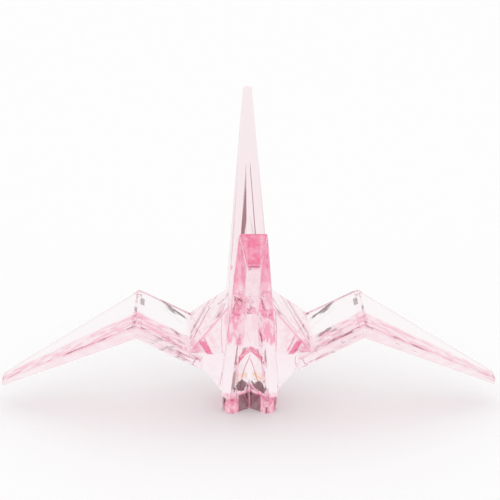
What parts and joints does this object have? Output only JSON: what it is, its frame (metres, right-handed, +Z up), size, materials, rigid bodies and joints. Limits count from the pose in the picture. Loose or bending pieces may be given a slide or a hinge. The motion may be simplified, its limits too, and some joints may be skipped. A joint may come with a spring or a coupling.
{
  "type": "origami crane figurine",
  "caption": "Paper-crane figurine pressed as one solid piece of pale pink clear glass, standing on a small flat foot with drooping wings.",
  "frame": {"origin": "centre of the flat foot that the crane stands on", "axes": "+Z up, -Y towards the crane's head, +X along its left wing as the crane faces"},
  "size_m": [0.15, 0.0938, 0.0877],
  "materials": {
    "pink_glass": "polished, clear, pale pink through its depth"
  },
  "bodies": {
    "root": {"crane": "pink_glass"}
  },
  "joints": []
}
